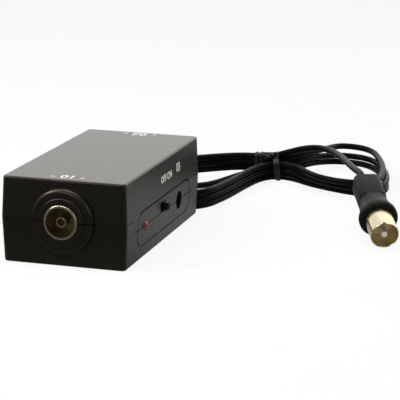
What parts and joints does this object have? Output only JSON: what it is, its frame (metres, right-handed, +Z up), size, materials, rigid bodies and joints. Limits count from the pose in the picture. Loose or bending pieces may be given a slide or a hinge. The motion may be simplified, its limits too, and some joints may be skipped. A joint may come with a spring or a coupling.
{
  "type": "aerial amplifier",
  "caption": "Small black aerial amplifier box with a coaxial socket, side switch and pilot light, and a coaxial lead with an aerial plug tied in a hank behind it.",
  "frame": {"origin": "middle of the case's underside", "axes": "+X towards the side with the switch, +Y from the aerial socket to the lead's exit, +Z up"},
  "size_m": [0.1183, 0.1833, 0.028],
  "materials": {
    "black_moulding": "fine matt, black ABS",
    "black_epoxy": "matt, moulded epoxy",
    "knob_moulding": "satin, black nylon",
    "plug_moulding": "matt, black PVC moulding",
    "black_rubber": "matt, soft PVC",
    "cable_jacket": "semi-gloss, black PVC jacket",
    "tie_ribbon": "glossy, black PVC ribbon over a wire",
    "nickel_plating": "bright, nickel-plated brass",
    "zinc_screws": "satin, zinc-plated steel",
    "tinned_sheet": "satin, tinned steel sheet",
    "cream_insulator": "satin, cream polymer",
    "tan_insulator": "satin, brown phenolic disc",
    "dielectric": "satin, white foam dielectric",
    "circuit_laminate": "satin, phenolic paper laminate",
    "ceramic_disc": "glossy, dipped ceramic",
    "resistor_lacquer": "glossy, lacquered carbon film",
    "choke_lacquer": "glossy, moulded choke",
    "ferrite": "matt, sintered ferrite",
    "capacitor_sleeve": "glossy, PVC sleeve",
    "red_lens": "clear, red diffused epoxy"
  },
  "bodies": {
    "case": {"amplifier_transistors": "black_epoxy", "board_screws": "zinc_screws", "bottom_shell": "black_moulding", "case_screws": "zinc_screws", "ceramic_capacitors": "ceramic_disc", "circuit_board": "circuit_laminate", "electrolytic_capacitor": "capacitor_sleeve", "ferrite_core": "ferrite", "jack_housing": "black_moulding", "jack_pin": "nickel_plating", "jack_spring": "nickel_plating", "lead_clamp": "tinned_sheet", "lead_core": "dielectric", "lead_end": "cable_jacket", "lead_hank": "cable_jacket", "lead_relief": "black_rubber", "lead_start": "cable_jacket", "lead_tail": "cable_jacket", "led_leads": "tinned_sheet", "led_lens": "red_lens", "plug_body": "plug_moulding", "plug_ferrule": "nickel_plating", "plug_insulator": "tan_insulator", "plug_pin": "nickel_plating", "plug_shell": "nickel_plating", "resistors": "resistor_lacquer", "rf_chokes": "choke_lacquer", "shield_can": "tinned_sheet", "socket_contact": "nickel_plating", "socket_insulator": "cream_insulator", "socket_lugs": "tinned_sheet", "socket_sleeve": "nickel_plating", "switch_base": "cream_insulator", "switch_frame": "tinned_sheet", "switch_terminals": "tinned_sheet", "top_shell": "black_moulding", "twist_tie": "tie_ribbon", "voltage_regulator": "black_epoxy"},
    "knob": {"switch_knob": "knob_moulding"}
  },
  "joints": [
    {"name": "switch_slide", "type": "slide", "parent": "case", "child": "knob", "axis": [0, -1, 0], "range_m": [0, 0.0022]}
  ]
}
